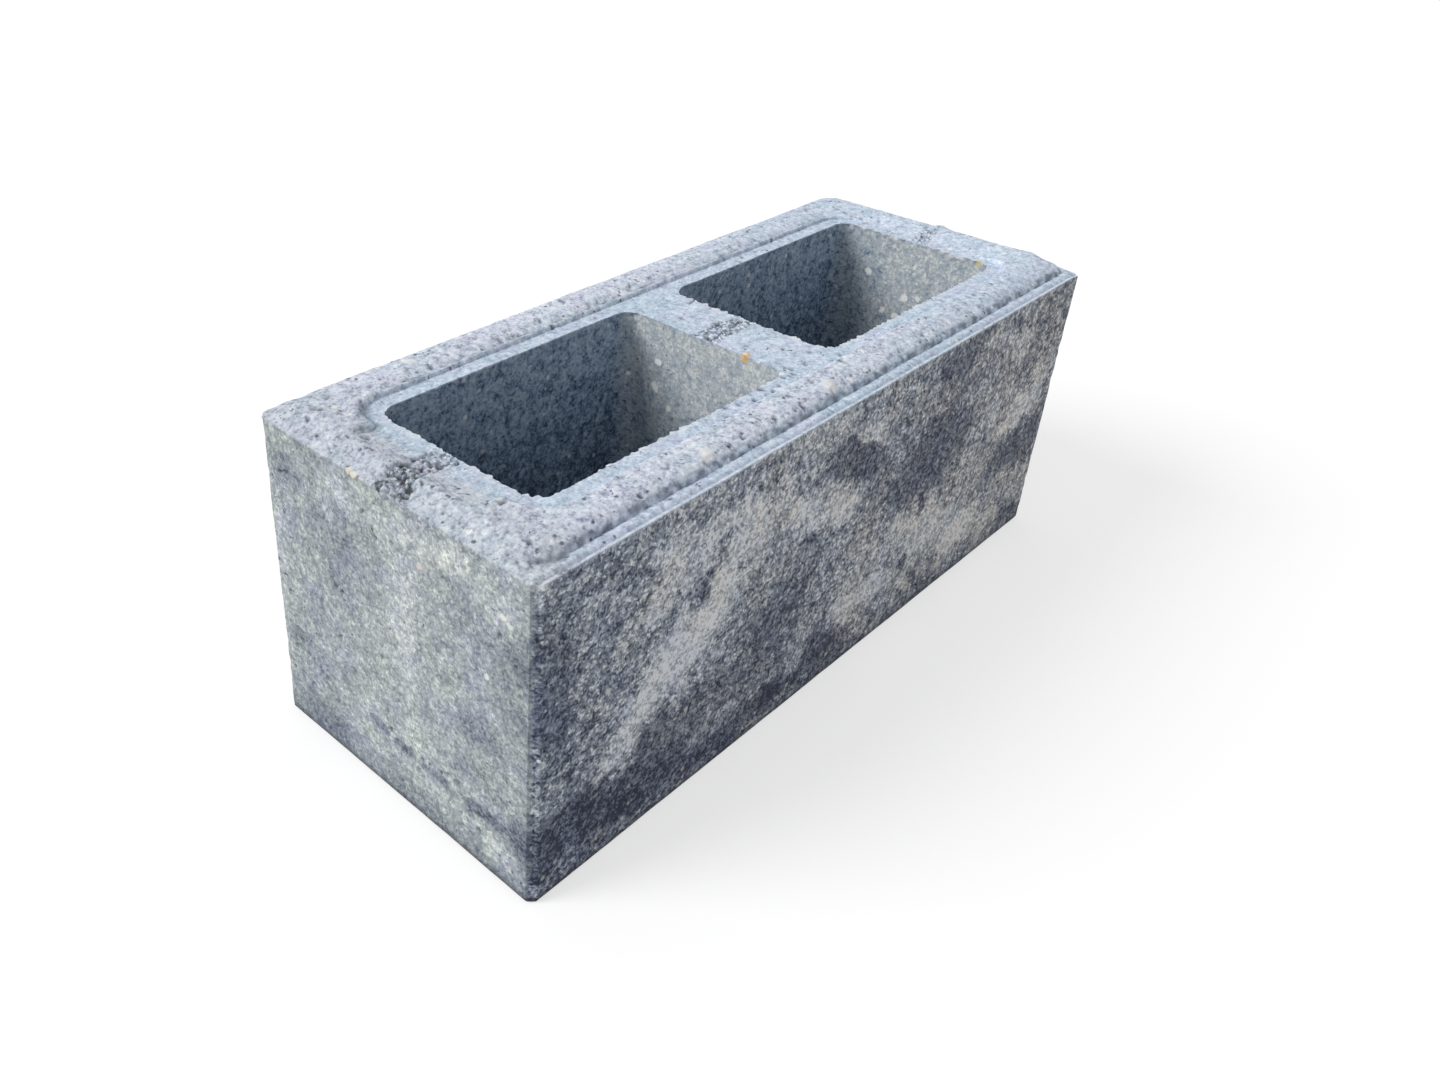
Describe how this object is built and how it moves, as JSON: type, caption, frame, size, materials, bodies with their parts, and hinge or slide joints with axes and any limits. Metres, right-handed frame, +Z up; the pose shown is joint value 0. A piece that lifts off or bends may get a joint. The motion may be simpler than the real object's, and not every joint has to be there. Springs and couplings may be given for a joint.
{
  "type": "hollow concrete block",
  "caption": "Hollow building block of dense marbled grey concrete with rounded rectangular cores right through and a raised, tamped band round its top.",
  "frame": {"origin": "centre of the underside, on the ground that the block stands on", "axes": "+X along the length, +Y across the width to the back, +Z up to the tamped top face"},
  "size_m": [0.5, 0.2, 0.196],
  "materials": {
    "concrete": "marbled slate and beige grey, fine gritty skin on the moulded sides, rough and pitted on the tamped top"
  },
  "bodies": {
    "root": {"concrete_block": "concrete"}
  },
  "joints": []
}
